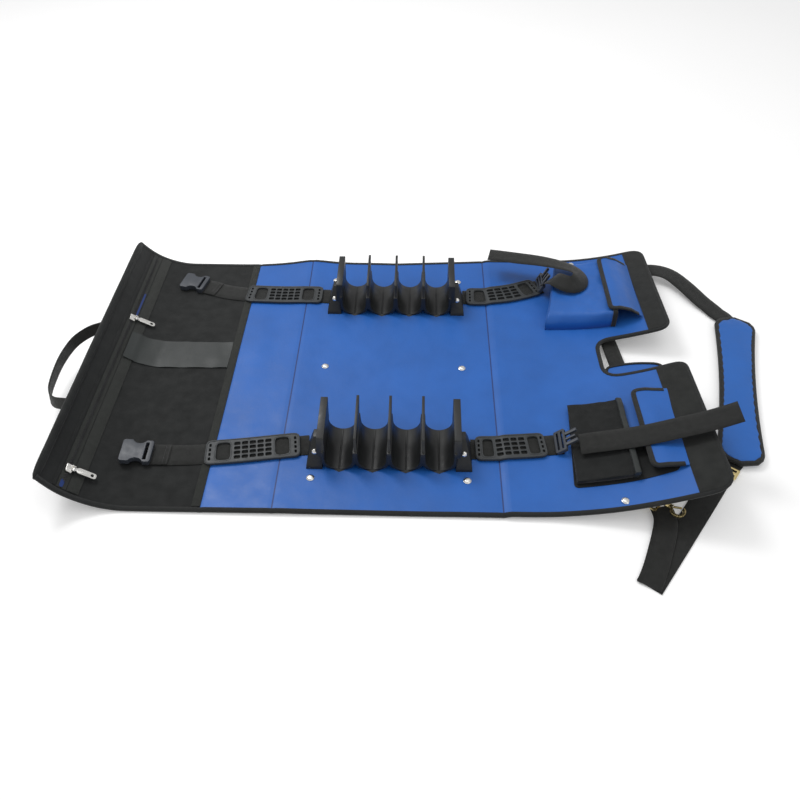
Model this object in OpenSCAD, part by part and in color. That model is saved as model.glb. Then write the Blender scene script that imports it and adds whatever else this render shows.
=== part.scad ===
// Fold-up carrying bag for insulating rods, lying open.
// +X runs across the panels, +Y away along the rods, +Z up.
// The origin is the centre of the centre panel's underside.

/* [Panels] */
// Depth of the open bag, along the rods
depth = 740; // [720:5:780]
// Width of the centre panel between its two folds
centre_w = 400; // [380:5:420]
// Width of the blue side wall
side_w = 124; // [120:1:130]
// Length of the black pocket panel, measured along the cloth
pocket_len = 294; // [280:1:300]
// Width of the right panel, from its fold to its end
right_w = 368; // [360:1:376]
// Thickness of a padded sheet
sheet_t = 4.5; // [4:0.1:5]
// Width of the sewn edge binding
bind_w = 9; // [7:1:12]

/* [Raised ends] */
// Inside radius of the curled end of the pocket panel
curl_r = 142; // [130:1:150]
// How steeply the right panel rises towards its end
rise_k = 0.0008; // [0.0005:0.0001:0.001]

/* [Notch] */
// Where the notch in the right panel begins
notch_x = 424; // [415:1:435]
// Front edge of the notch
notch_front = -40; // [-45:1:-35]
// Rear edge of the notch
notch_rear = 68; // [60:1:75]

/* [Rod holders] */
// Radius of each rod channel
channel_r = 25; // [22:0.5:26]
// Distance between neighbouring channels
channel_pitch = 60; // [58:1:62]
// Length of the channels along the rods
channel_len = 98; // [90:1:104]
// Height of the fins above the floor
fin_top = 80; // [74:1:86]

/* [Straps] */
// Width of the buckle webbing
strap_w = 48; // [45:1:50]
// Width of the rubber grip pads
grip_w = 57; // [54:1:60]
// Thickness of the webbing
strap_t = 1.8; // [1.5:0.1:2]

/* [Pockets] */
// Height of the box pocket above the panel
box_h = 38; // [34:1:42]
// Height of the two tool sleeves above the panel
sleeve_h = 18; // [16:1:20]
// Thickness of the pocket cloth
cloth_t = 2; // [1.5:0.1:2.5]

/* [Hidden] */
$fn = 48;

gap = 0.3;
half_d = depth / 2;
fold_left = -centre_w / 2;
fold_side = fold_left - side_w;
fold_right = centre_w / 2;
right_end = fold_right + right_w;
seam = 0.05;
front_edge = -half_d + bind_w;
back_edge = [[fold_side, half_d - 28], [fold_left, half_d - 15], [0, half_d - 18],
             [fold_right, half_d - 4], [right_end, half_d]];
cover_t = 1;
backing_t = 1;
edge_t = 1.5;
fold_gap = 18;
strap_z = sheet_t + 0.2;
grip_z = strap_z + strap_t;
grip_t = 5.5;
front_y = -226;
rear_y = 211;
holder_z = sheet_t + 0.1;
channel_z = holder_z + 3.5 + channel_r;
channel_floor = [[-30, 22], [-24, 13], [-12, 6], [0, 4.6], [12, 6], [24, 13], [30, 22]];
snap_x = 140;
snap_rows = [-295, -5, 282];
zip_s = pocket_len - 52;
pocket_back = half_d - 28 - bind_w;
zip_front = -345;
zip_rear = 322;
zip_w = 18;
roll_len = 8;
front_slider_y = -318;
rear_slider_y = 100;
band_y = 22;
tail_x = 344;
front_left_path = [[-490, -250], [-337, -245], [-140, -217]];
rear_left_path = [[-490, 262], [-440, 252], [-337, 226], [-140, 222]];
front_right_path = [[140, -222], [200, -221], [300, -212], [345, -210]];
rear_right_path = [[140, 226], [200, 226], [260, 238], [320, 262], [345, 272]];
shoulder_path = [[548, 318, 12, 0], [590, 322, 18, 0], [625, 305, 20, 0], [652, 270, 15, 0],
                 [672, 225, 8, 0], [688, 185, 3.2, 0], [706, 135, 3, 0], [640, -180, 3, 0],
                 [628, -228, 2.5, 0], [600, -262, 1.5, 0], [540, -342, 0.5, 0], [422, -498, 0, 0]];
pad_angle = 14;
pad_x = 688;
pad_y = -44;
pad_len = 428;
hook_yaw = -45;
hook_x = 478;
hook_y = -350;
hook_z = 22;
black = [0.13, 0.14, 0.15];
blue = [0.08, 0.27, 0.72];
plastic = [0.24, 0.26, 0.31];

// The back edge isn't straight: the bag is shallower at its left end.
function back_y(x) = lookup(x, back_edge);

// Rise of the right panel's underside above the floor.
function lift(x, y) =
    x <= fold_right ? 1.5
    : 1.5 + 1.5 * min(1, (x - fold_right) / 15)
        + rise_k * pow(max(0, x - fold_right - 90 - y * 60 / 370), 2);

// Where the pocket panel starts to curl up; the line runs slightly askew.
function curl_start(y) = fold_side - 141 - y * 15 / 370;

// A point h above the pocket panel's upper face, u beyond the start of the curl.
function on_curl(u, y, h) =
    let (a = max(0, u) / curl_r * 180 / PI)
    [curl_start(y) - min(0, u) - (curl_r - h) * sin(a), y, sheet_t + curl_r - (curl_r - h) * cos(a)];

// The same at a distance s along the cloth from the side fold.
function curl_pass(s, y) = curl_start(y) - (fold_side - s);
function on_pocket(s, y, h) = on_curl(curl_pass(s, y), y, h);

// Slab bounded by two grids of points, each of rows by columns.
module grid_slab(low, high) {
    rows = len(low);
    cols = len(low[0]);
    n = rows * cols;
    points = concat([for (r = low) for (p = r) p], [for (r = high) for (p = r) p]);
    function quad(p, q, r, s) = [[p, q, r], [p, r, s]];
    sides = concat(
        [for (c = [0:cols - 2]) each quad(c, n + c, n + c + 1, c + 1)],
        [for (c = [0:cols - 2]) let (i = (rows - 1) * cols + c)
            each quad(i + 1, n + i + 1, n + i, i)],
        [for (r = [0:rows - 2]) let (i = r * cols)
            each quad(i + cols, n + i + cols, n + i, i)],
        [for (r = [0:rows - 2]) let (i = r * cols + cols - 1)
            each quad(i, n + i, n + i + cols, i + cols)]);
    faces = concat(
        [for (r = [0:rows - 2]) for (c = [0:cols - 2]) let (i = r * cols + c)
            each quad(i, i + 1, i + cols + 1, i + cols)],
        [for (r = [0:rows - 2]) for (c = [0:cols - 2]) let (i = n + r * cols + c)
            each quad(i, i + cols, i + cols + 1, i + 1)],
        sides);
    polyhedron(points, faces, convexity = 4);
}

// One layer of the pocket panel between two heights, larger than the panel all round.
module pocket_layer(lo, hi) {
    passes = concat([for (u = [184:-8:0]) u], [-200]);
    ys = [-half_d - 5, half_d + 5];
    grid_slab(
        [for (y = ys) [for (u = passes) on_curl(u, y, lo)]],
        [for (y = ys) [for (u = passes) on_curl(u, y, hi)]]);
}

// The part of that layer from s0 to s1 and y0 to y1, cut square to the cloth.
module pocket_patch(s0, s1, y0, y1, lo, hi) {
    reach = 12;
    cols = 6;
    ys = [y0, (y0 + y1) / 2, y1];
    ss = [for (c = [0:cols]) s1 + (s0 - s1) * c / cols];
    intersection() {
        pocket_layer(lo, hi);
        grid_slab(
            [for (y = ys) [for (s = ss) on_pocket(s, y, -reach)]],
            [for (y = ys) [for (s = ss) on_pocket(s, y, reach)]]);
    }
}

// The 2D children laid over the right panel, between two heights above its upper face.
module on_right(lo, hi, cols = 12, rows = 6) {
    x0 = fold_right - 5;
    x1 = right_end + 60;
    y0 = -half_d - 10;
    y1 = half_d + 10;
    low = [for (r = [0:rows]) [for (c = [0:cols])
        let (x = x0 + (x1 - x0) * c / cols, y = y0 + (y1 - y0) * r / rows)
        [x, y, lift(x, y) + sheet_t + lo]]];
    high = [for (r = [0:rows]) [for (c = [0:cols])
        let (x = x0 + (x1 - x0) * c / cols, y = y0 + (y1 - y0) * r / rows)
        [x, y, lift(x, y) + sheet_t + hi]]];
    intersection() {
        grid_slab(low, high);
        linear_extrude(260) children();
    }
}

// Flat strip that follows a path of [x, y] points between xa and xb.
module strip_2d(path, xa, xb, w) {
    steps = 6;
    xs = [for (i = [0:steps]) xa + (xb - xa) * i / steps];
    polygon(concat(
        [for (x = xs) [x, lookup(x, path) - w / 2]],
        [for (i = [steps:-1:0]) [xs[i], lookup(xs[i], path) + w / 2]]));
}

module strip(path, xa, xb, w, z0, z1) {
    translate([0, 0, z0])
        linear_extrude(z1 - z0)
            strip_2d(path, xa, xb, w);
}

function unit(v) = v / norm(v);

// Ribbon along [x, y, z, tilt] points; a tilt of 90 stands the webbing on its edge.
module ribbon(path, w, t) {
    last = len(path) - 1;
    frames = [for (i = [0:last])
        let (
            a = path[max(0, i - 1)],
            b = path[min(last, i + 1)],
            d = unit([b[0] - a[0], b[1] - a[1], b[2] - a[2]]),
            side = unit(cross([0, 0, 1], d)),
            up = cross(d, side),
            across = side * cos(path[i][3]) + up * sin(path[i][3]),
            face = cross(d, across),
            p = [path[i][0], path[i][1], path[i][2]]
        )
        [p, across, face]];
    low = [for (f = frames) [f[0] + f[1] * w / 2, f[0] - f[1] * w / 2]];
    high = [for (f = frames) [f[0] + f[1] * w / 2 + f[2] * t, f[0] - f[1] * w / 2 + f[2] * t]];
    grid_slab(low, high);
}

module rounded(w, l, r) {
    offset(r) square([w - 2 * r, l - 2 * r], center = true);
}

module right_outline() {
    difference() {
        offset(25) offset(-25)
            polygon([[fold_right - 60, -half_d], [right_end, -half_d],
                     [right_end, half_d], [fold_right - 60, back_y(fold_right - 60)]]);
        translate([fold_right - 100, -half_d - 1])
            square([100 + gap, depth + 2]);
        translate([notch_x + 20, notch_front])
            square([right_w, notch_rear - notch_front]);
        offset(20) offset(-20)
            translate([notch_x, notch_front])
                square([120, notch_rear - notch_front]);
    }
}

// Same outline without its edge binding; the fold side keeps its full width.
module right_inner() {
    intersection() {
        offset(delta = -bind_w) union() {
            right_outline();
            panel_2d(fold_right - 20, fold_right + 1, 0);
        }
        translate([fold_right + gap, -half_d])
            square([right_w, depth]);
    }
}

// Flat outline of a panel from x0 to x1, inset from its front and back edges.
module panel_2d(x0, x1, inset) {
    corners = [for (p = back_edge) if (p[0] > x0 && p[0] < x1) p[0]];
    xs = concat([x0], corners, [x1]);
    polygon(concat(
        [[x0, -half_d + inset], [x1, -half_d + inset]],
        [for (i = [len(xs) - 1:-1:0]) [xs[i], back_y(xs[i]) - inset]]));
}

// ---- centre panel ----

module centre_cover() {
    color(blue)
        translate([0, 0, sheet_t - cover_t])
            linear_extrude(cover_t)
                panel_2d(fold_left, fold_right, bind_w);
}

module centre_stiffener() {
    color("dimgray")
        translate([0, 0, backing_t])
            linear_extrude(sheet_t - cover_t - backing_t)
                panel_2d(fold_left + 6, fold_right - 6, bind_w);
}

module centre_backing() {
    color(black)
        linear_extrude(backing_t)
            panel_2d(fold_left, fold_right, bind_w);
}

// Flat bindings along the front and back edges from x0 to x1.
module edge_pair(x0, x1, h) {
    linear_extrude(h)
        difference() {
            panel_2d(x0, x1, 0);
            panel_2d(x0 - 10, x1 + 10, bind_w);
        }
}

module centre_bindings() {
    color(black) edge_pair(fold_left, fold_right, sheet_t);
}

module holder_channels() {
    rotate([90, 0, 0])
        translate([0, 0, -channel_len / 2])
            linear_extrude(channel_len)
                difference() {
                    for (i = [-1.5:1:1.5])
                        translate([i * channel_pitch, 0])
                            polygon(concat(channel_floor, [[30, 52], [-30, 52]]));
                    for (i = [-1.5:1:1.5])
                        translate([i * channel_pitch, channel_z]) {
                            circle(r = channel_r, $fn = 96);
                            polygon([[-channel_r, 0], [channel_r, 0], [27.5, 40], [-27.5, 40]]);
                        }
                }
}

// Side view of a fin: it leans back and ends in a spike behind the channels.
module fin(thick, back) {
    rotate([90, 0, 90])
        translate([0, 0, -thick / 2])
            linear_extrude(thick)
                polygon([
                    [-channel_len / 2 + 2, 40], [-channel_len / 2 + 9, fin_top - 2],
                    [-channel_len / 2 + 12, fin_top], [channel_len / 2 + back, fin_top + 5],
                    [channel_len / 2 + back, fin_top + 2], [channel_len / 2, 56],
                    [channel_len / 2, 40]
                ]);
}

// Wedge foot beside the outer channel.
module holder_foot() {
    intersection() {
        rotate([90, 0, 0])
            translate([0, 0, -channel_len])
                linear_extrude(2 * channel_len)
                    polygon([[120, holder_z], [150, holder_z], [149, 14], [136, 60], [123, 60]]);
        rotate([90, 0, 90])
            linear_extrude(200)
                polygon([
                    [-channel_len / 2, holder_z], [12, holder_z], [8, 40],
                    [0, 60], [-18, 60], [-channel_len / 2 + 2, 12]
                ]);
    }
}

module rod_holder(y) {
    color(black)
        translate([0, y, 0])
            union() {
                holder_channels();
                for (i = [-1, 0, 1])
                    translate([i * channel_pitch, 0, 0])
                        fin(5, 14);
                for (s = [-1, 1])
                    translate([s * (2 * channel_pitch + 1), 0, 0])
                        fin(13, 8);
                for (s = [0, 1])
                    mirror([s, 0, 0])
                        holder_foot();
                for (s = [-1, 1])
                    translate([s * 121 - 3, -channel_len / 2 + 12, 20])
                        cube([6, channel_len - 24, 22]);
            }
}

module front_rod_holder() { rod_holder(front_y); }

module rear_rod_holder() { rod_holder(rear_y); }

module dome(r, h) {
    rotate_extrude($fn = 40)
        intersection() {
            translate([0, h - r * 1.5]) circle(r = r * 1.5, $fn = 96);
            square([r, h]);
        }
}

// Rivets stand out of the sloping front face of each foot.
module holder_rivets() {
    color("silver")
        for (y = [front_y, rear_y])
            for (s = [-1, 1])
                translate([s * 134, y - 33.1, 36])
                    rotate([57, 0, 0])
                        dome(5, 2.4);
}

module centre_snaps() {
    color("silver")
        for (y = snap_rows)
            for (s = [-1, 1])
                translate([s * snap_x, y, sheet_t])
                    dome(7.5, 2.6);
}

// Webbing between a holder foot and the fold, with the start of the grip pad.
module left_strap_roots() {
    color(black)
        for (path = [front_left_path, rear_left_path]) {
            strip(path, fold_left + fold_gap, -151, strap_w, sheet_t, grip_z);
            strip(path, fold_left + fold_gap, -170, grip_w, grip_z, grip_z + grip_t);
        }
}

module right_strap_roots() {
    color(black)
        for (path = [front_right_path, rear_right_path]) {
            strip(path, 151, fold_right - fold_gap, strap_w, sheet_t, grip_z);
            strip(path, 158, fold_right - fold_gap, grip_w, grip_z, grip_z + grip_t);
        }
}

// ---- shoulder strap ----

module shoulder_strap() {
    color(black) ribbon(shoulder_path, strap_w - 4, strap_t);
}

// Webbing that runs from the fold under the right panel to the shoulder strap.
module shoulder_anchor() {
    color(black)
        ribbon([[fold_right + 0.2, 318, 0, 0], [300, 318, 0, 0], [400, 318, 1, 0],
                [470, 318, 3, 0], [520, 318, 8, 0], [545.5, 318, 11.4, 0]], strap_w, 1.2);
}

// Outline of the shoulder pad, wide at its ends and narrow at its waist.
module pad_outline(inset) {
    half = pad_len / 2 - inset;
    steps = 24;
    function wide(t) = (34 - inset) + 10 * pow(t, 2);
    function crown(t) = abs(t) < 0.82 ? 1 : sqrt(max(0, 1 - pow((abs(t) - 0.82) / 0.18, 2)));
    polygon(concat(
        [for (i = [0:steps]) let (t = 2 * i / steps - 1) [-wide(t) * crown(t), half * t]],
        [for (i = [steps - 1:-1:1]) let (t = 2 * i / steps - 1) [wide(t) * crown(t), half * t]]));
}

module pad_place() {
    translate([pad_x, pad_y, 0])
        rotate([0, 0, -pad_angle])
            children();
}

module shoulder_pad() {
    color(blue)
        pad_place()
            translate([0, 0, 5.2])
                linear_extrude(9)
                    pad_outline(6);
}

module shoulder_pad_binding() {
    color(black)
        pad_place()
            translate([0, 0, 5.2])
                linear_extrude(7)
                    difference() {
                        pad_outline(0);
                        pad_outline(6);
                    }
}

// Webbing that returns from the fold at the strap's tip to the hook.
module hook_strap() {
    color(black)
        ribbon([[420, -499, 1.9, 0], [440, -462, 2.5, 0], [466, -400, 4, 0],
                [479, -366, 6, 0]], strap_w - 8, strap_t);
}

module strap_slider() {
    color("goldenrod")
        translate([604, -257, 4.4])
            rotate([0, 0, -37])
                linear_extrude(2.5)
                    difference() {
                        rounded(52, 26, 3);
                        for (s = [-1, 1])
                            translate([0, s * 6])
                                square([42, 5], center = true);
                    }
}

module hook_place() {
    translate([hook_x, hook_y, hook_z])
        rotate([0, 0, hook_yaw])
            children();
}

// Bar loop that the strap is sewn round, with the swivel collar.
module hook_eye() {
    color("goldenrod")
        hook_place() {
            translate([-20, 0, -12])
                rotate([0, 8, 0])
                    linear_extrude(3.2)
                        difference() {
                            rounded(22, 40, 4);
                            rounded(14, 32, 3);
                        }
            translate([-11, 0, -11])
                linear_extrude(15)
                    square([5, 9], center = true);
            translate([-8.6, 0, 0])
                rotate([0, 90, 0])
                    cylinder(r = 4.5, h = 4);
        }
}

// Hook body along its swivel axis.
module snap_hook() {
    color("goldenrod")
        hook_place() {
            translate([-4.3, 0, 0])
                rotate([0, 90, 0])
                    cylinder(r = 5.5, h = 8);
            translate([3, 0, -2.2])
                linear_extrude(4.4)
                    difference() {
                        union() {
                            translate([17, 0]) circle(r = 13);
                            translate([0, -4]) square([10, 8]);
                        }
                        translate([17, 0]) circle(r = 8.5);
                        translate([6, 0]) square([15.5, 20]);
                    }
        }
}

// Sprung gate that closes the hook's mouth.
module hook_gate() {
    color("goldenrod")
        hook_place()
            translate([3, 0, -1.6])
                linear_extrude(3.2)
                    hull() {
                        translate([8.6, 3.2]) circle(r = 1.7);
                        translate([17.6, 9.6]) circle(r = 1.7);
                    }
}

// ---- side wall ----

module side_cover() {
    color(blue)
        translate([0, 0, backing_t])
            linear_extrude(sheet_t - backing_t)
                panel_2d(fold_side + gap, fold_left - gap, bind_w);
}

module side_backing() {
    color(black)
        linear_extrude(backing_t)
            panel_2d(fold_side + gap, fold_left - gap, bind_w);
}

module side_bindings() {
    color(black) edge_pair(fold_side + gap, fold_left - gap, sheet_t);
}

module side_grip(path) {
    color(plastic) {
        strip(path, fold_side + fold_gap, fold_left - gap, strap_w, sheet_t, grip_z);
        strip(path, fold_side + fold_gap, fold_left - gap, grip_w, grip_z, grip_z + grip_t);
    }
}

module front_side_grip() { side_grip(front_left_path); }

module rear_side_grip() { side_grip(rear_left_path); }

// ---- pocket panel ----

module pocket_cover() {
    color(black) {
        pocket_patch(gap, zip_s - zip_w / 2 - seam, front_edge, pocket_back, -cover_t, 0);
        pocket_patch(zip_s + zip_w / 2 + seam, pocket_len - roll_len, front_edge, pocket_back, -cover_t, 0);
    }
}

module pocket_lining() {
    color(blue)
        pocket_patch(gap, pocket_len - roll_len, front_edge, pocket_back, -sheet_t + backing_t, -cover_t);
}

module pocket_backing() {
    color(black)
        pocket_patch(gap, pocket_len - roll_len, front_edge, pocket_back, -sheet_t, -sheet_t + backing_t);
}

module pocket_bindings() {
    color(black)
        for (y = [-half_d, pocket_back + seam])
            pocket_patch(gap, pocket_len - roll_len, y, y + bind_w - seam, -sheet_t, 0);
}

module pocket_end_roll() {
    color(black)
        pocket_patch(pocket_len - roll_len + 2 * seam, pocket_len, -half_d, back_y(fold_side),
            -sheet_t - edge_t, edge_t);
}

module zip_tape() {
    color("dimgray")
        pocket_patch(zip_s - zip_w / 2, zip_s + zip_w / 2, front_edge, pocket_back, -cover_t, 0);
}

module zip_teeth() {
    color("gray")
        pocket_patch(zip_s - 2.5, zip_s + 2.5, zip_front, zip_rear, 0, 1);
}

module pocket_band() {
    color("dimgray")
        pocket_patch(12, zip_s - 10, band_y - 39, band_y + 39, 0, 0.8);
}

module seam_tape() {
    color("dimgray") {
        pocket_patch(gap, 11, front_edge, lookup(-330, front_left_path) - 32, 0, 0.8);
        pocket_patch(gap, 11, lookup(-330, front_left_path) + 32, lookup(-330, rear_left_path) - 34,
            0, 0.8);
        pocket_patch(gap, 11, lookup(-330, rear_left_path) + 34, pocket_back, 0, 0.8);
    }
}

module left_strap(path) {
    color(black) {
        strip(path, -440, fold_side - gap, strap_w, sheet_t + 0.2, grip_z);
        strip(path, -338, fold_side - gap, grip_w, grip_z, grip_z + grip_t);
    }
}

module front_left_strap() { left_strap(front_left_path); }

module rear_left_strap() { left_strap(rear_left_path); }

// Socket half of a side-release buckle; its mouth faces -X and is tipped up.
module socket_buckle(x, y, h, a, tip) {
    color(plastic)
        translate([x, y, sheet_t + h])
            rotate([0, tip, a])
                difference() {
                    linear_extrude(11)
                        difference() {
                            rounded(55, 50, 5);
                            for (s = [-1, 1])
                                translate([2, s * 31])
                                    circle(r = 14);
                        }
                    translate([-28, -16, 2.6])
                        cube([36, 32, 5.8]);
                    translate([14, -20, -1])
                        cube([6, 40, 13]);
                }
}

module front_left_buckle() { socket_buckle(-462, -250, 5.5, 2, 7); }

module rear_left_buckle() { socket_buckle(-462, 257, 3.4, -12, 2); }

// Frame of a point on the zip line, X along the cloth and Z out of it.
module zip_place(y) {
    a = curl_pass(zip_s, y) / curl_r * 180 / PI;
    translate(on_pocket(zip_s, y, 0))
        rotate([0, a, 0])
            children();
}

module zip_slider(y) {
    color("silver")
        zip_place(y) {
            translate([0, 0, 2])
                linear_extrude(3.5)
                    offset(1.5) polygon([[-4, -7], [4, -7], [5.5, 6], [-5.5, 6]]);
            for (s = [-1, 1])
                translate([2, s * 4.5 - 0.8, 5.5])
                    cube([7, 1.6, 4.5]);
        }
}

module front_zip_slider() { zip_slider(front_slider_y); }

module rear_zip_slider() { zip_slider(rear_slider_y); }

// Flat pull with a barrel that turns between the slider's lugs, lying a little raised.
module zip_pull(y, raise) {
    color("silver")
        zip_place(y)
            translate([6.6, 0, 7.7])
                rotate([0, -raise, 0])
                difference() {
                    union() {
                        rotate([90, 0, 0])
                            cylinder(r = 1.6, h = 6.8, center = true);
                        translate([0, -3, -1])
                            cube([6, 6, 2]);
                        translate([22, 0, -1])
                            linear_extrude(2)
                                rounded(34, 11, 4);
                    }
                    translate([32, 0, -2])
                        cylinder(r = 3, h = 4);
                }
}

module front_zip_pull() { zip_pull(front_slider_y, 10); }

module rear_zip_pull() { zip_pull(rear_slider_y, 9); }

// Webbing loop on the outer face of the curled end.
module carry_handle() {
    color(black)
        ribbon([[-592, 42, 56, 60], [-622, 33, 50, 60], [-648, 5, 45, 60], [-660, -40, 42, 60],
                [-663, -85, 42, 60], [-655, -130, 45, 60], [-630, -160, 50, 60],
                [-594, -170, 58, 60]], 28, 2.4);
}

module carry_handle_anchors() {
    color(black)
        for (y = [42, -170])
            pocket_patch(pocket_len - 60, pocket_len - 12, y - 18, y + 18, -sheet_t - 2.4, -sheet_t);
}

// ---- right panel ----

module right_cover() {
    color(blue) on_right(-cover_t, 0) right_inner();
}

module right_backing() {
    color(black) on_right(-sheet_t + 1.5, -cover_t) right_inner();
}

module right_bindings() {
    color(black)
        on_right(-sheet_t + 1.5, 0.8)
            difference() {
                right_outline();
                right_inner();
            }
}

module right_end_bands() {
    color("dimgray")
        on_right(0, 1)
            intersection() {
                right_inner();
                union() {
                    translate([right_end - 42, notch_rear]) square([60, depth]);
                    translate([right_end - 50, notch_front - depth]) square([60, depth]);
                }
            }
}

// Lower cloth layer that shows along the front edge of the notch.
module notch_lip() {
    color(blue)
        on_right(-sheet_t - 4, -sheet_t - 1)
            offset(14) offset(-14)
                translate([notch_x - 4, notch_front - 16])
                    square([112, 52]);
    color(blue)
        on_right(-sheet_t - 2, -sheet_t + 1.4)
            translate([notch_x + 10, notch_front - 15])
                square([80, 8]);
}

module right_snaps() {
    color("silver") {
        translate([408, 348, lift(408, 348) + sheet_t + 0.4])
            rotate([0, -5, 0])
                dome(7.5, 2.6);
        translate([405, -352, lift(405, -352) + sheet_t + 0.5])
            rotate([0, -15, 0])
                dome(7.5, 2.6);
    }
}

// Webbing handle that hangs under the notch.
module grab_handle() {
    color(black)
        ribbon([[446, notch_rear + 34, 11.5, 0], [450, notch_rear + 8, 11, 0],
                [455, 30, 10, 0], [460, notch_front + 14, 12, 0],
                [462, notch_front - 26, 18, 0]], 34, 2);
}

module right_grip(path, xe) {
    color(plastic) {
        on_right(0.1, 1.9) strip_2d(path, fold_right + gap + 0.2, xe, strap_w);
        on_right(1.9, 7.4) strip_2d(path, fold_right + gap + 0.2, xe, grip_w);
    }
}

module rear_right_grip() { right_grip(rear_right_path, 318); }

module front_right_grip() { right_grip(front_right_path, 290); }

// Prong half of a side-release buckle; its prongs point to +X and are tipped up.
module prong_buckle(x, y, h, a, tip) {
    color(plastic)
        translate([x, y, lift(x, y) + sheet_t + h])
            rotate([0, -tip, a])
                union() {
                    difference() {
                        linear_extrude(7)
                            rounded(22, 50, 3);
                        for (s = [-1, 1])
                            translate([s * 4.5 - 2, -20, -1])
                                cube([4, 40, 9]);
                    }
                    translate([10.5, -15, 1])
                        cube([24, 6, 5]);
                    translate([10.5, 9, 1])
                        cube([24, 6, 5]);
                    translate([10.5, -2, 1.5])
                        cube([20, 4, 4]);
                }
}

module front_right_buckle() { prong_buckle(316, -212, 7.7, 0, 40); }

module rear_right_buckle() { prong_buckle(329.5, 262, 14.5, 0, 65); }

// Free end of the rear strap, looped over the box pocket.
module rear_right_tail() {
    color(black)
        ribbon([[346, 240, 63, 15], [358, 222, 62, 20], [378, 214, 63, 30], [396, 228, 66, 40],
                [399, 250, 68, 45], [384, 272, 68, 45], [350, 284, 66, 45], [300, 298, 60, 40],
                [246, 312, 59, 30], [210, 322, 58, 25]], strap_w - 10, strap_t);
}

// Long free end of the front strap, over the sleeves, the flap and the end band.
module front_right_tail() {
    heights = [[344, 21], [356, 22], [470, 23], [600, 22]];
    color(black)
        ribbon([for (x = [tail_x:20:604])
            [x, -230, lift(x, -230) + sheet_t + lookup(x, heights), 0]],
            strap_w, strap_t);
}

module box_outline() {
    polygon([[332, 120], [472, 122], [478, 305], [345, 305]]);
}

// Box pocket with its mouth towards the end of the panel.
module rear_box_pocket() {
    color(blue)
        difference() {
            on_right(0, box_h) box_outline();
            on_right(-1, box_h - cloth_t)
                polygon([[335, 123], [500, 125], [500, 302], [348, 302]]);
        }
}

// Flap over a pocket: [x, height] points from its free edge to its hinge at the band.
module flap(profile, y0, y1) {
    rows = 4;
    function row(y, h) = [for (p = profile) [p[0], y, lift(p[0], y) + sheet_t + p[1] + h]];
    ys = [for (r = [0:rows]) y0 + (y1 - y0) * r / rows];
    grid_slab([for (y = ys) row(y, 0)], [for (y = ys) row(y, 2.6)]);
}

module rear_flap() {
    color(blue) flap([[458, box_h + 2], [476, box_h + 1.5], [500, 22], [527, 2]], 112, 316);
}

module tool_sleeves() {
    color(black)
        difference() {
            on_right(0, sleeve_h)
                offset(10) offset(-10)
                    translate([346, -306])
                        square([90, 182]);
            for (y = [-209, -303])
                on_right(1, sleeve_h - cloth_t)
                    translate([349, y])
                        square([100, y < -250 ? 91 : 82]);
        }
}

module front_flap() {
    color(blue) flap([[458, 17], [480, 14], [500, 8], [517, 2]], -302, -106);
}

centre_cover();
centre_stiffener();
centre_backing();
centre_bindings();
front_rod_holder();
rear_rod_holder();
holder_rivets();
centre_snaps();
left_strap_roots();
right_strap_roots();
shoulder_strap();
shoulder_anchor();
shoulder_pad();
shoulder_pad_binding();
strap_slider();
hook_strap();
hook_eye();
snap_hook();
hook_gate();
side_cover();
side_backing();
side_bindings();
front_side_grip();
rear_side_grip();
pocket_cover();
pocket_lining();
pocket_backing();
pocket_bindings();
pocket_end_roll();
zip_tape();
zip_teeth();
pocket_band();
seam_tape();
front_left_strap();
rear_left_strap();
front_left_buckle();
rear_left_buckle();
front_zip_slider();
rear_zip_slider();
front_zip_pull();
rear_zip_pull();
carry_handle();
carry_handle_anchors();
right_cover();
right_backing();
right_bindings();
right_end_bands();
notch_lip();
right_snaps();
grab_handle();
rear_right_grip();
front_right_grip();
rear_right_buckle();
front_right_buckle();
rear_right_tail();
front_right_tail();
rear_box_pocket();
rear_flap();
tool_sleeves();
front_flap();
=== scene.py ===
"""The open carrying bag: cloth panels, webbing, moulded parts and fittings over the CAD frame."""
import math

import bmesh
import bpy
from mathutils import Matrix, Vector, noise
from mathutils.geometry import delaunay_2d_cdt


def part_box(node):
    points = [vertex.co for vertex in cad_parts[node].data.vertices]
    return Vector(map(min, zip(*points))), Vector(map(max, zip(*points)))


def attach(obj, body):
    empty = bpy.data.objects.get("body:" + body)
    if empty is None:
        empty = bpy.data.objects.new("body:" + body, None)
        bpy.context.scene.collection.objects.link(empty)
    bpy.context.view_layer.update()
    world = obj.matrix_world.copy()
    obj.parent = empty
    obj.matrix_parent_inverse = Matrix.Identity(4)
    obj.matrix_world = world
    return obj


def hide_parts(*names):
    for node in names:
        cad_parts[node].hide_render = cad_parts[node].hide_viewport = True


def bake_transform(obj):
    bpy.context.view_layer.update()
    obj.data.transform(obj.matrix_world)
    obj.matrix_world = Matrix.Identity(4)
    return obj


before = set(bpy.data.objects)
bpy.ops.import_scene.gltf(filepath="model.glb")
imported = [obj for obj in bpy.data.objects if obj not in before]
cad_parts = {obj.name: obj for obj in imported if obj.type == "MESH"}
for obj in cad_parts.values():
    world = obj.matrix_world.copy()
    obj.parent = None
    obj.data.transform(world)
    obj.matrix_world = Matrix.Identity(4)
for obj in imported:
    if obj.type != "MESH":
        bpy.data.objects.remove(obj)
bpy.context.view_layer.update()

# ---- driving dimensions, in metres ----

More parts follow.
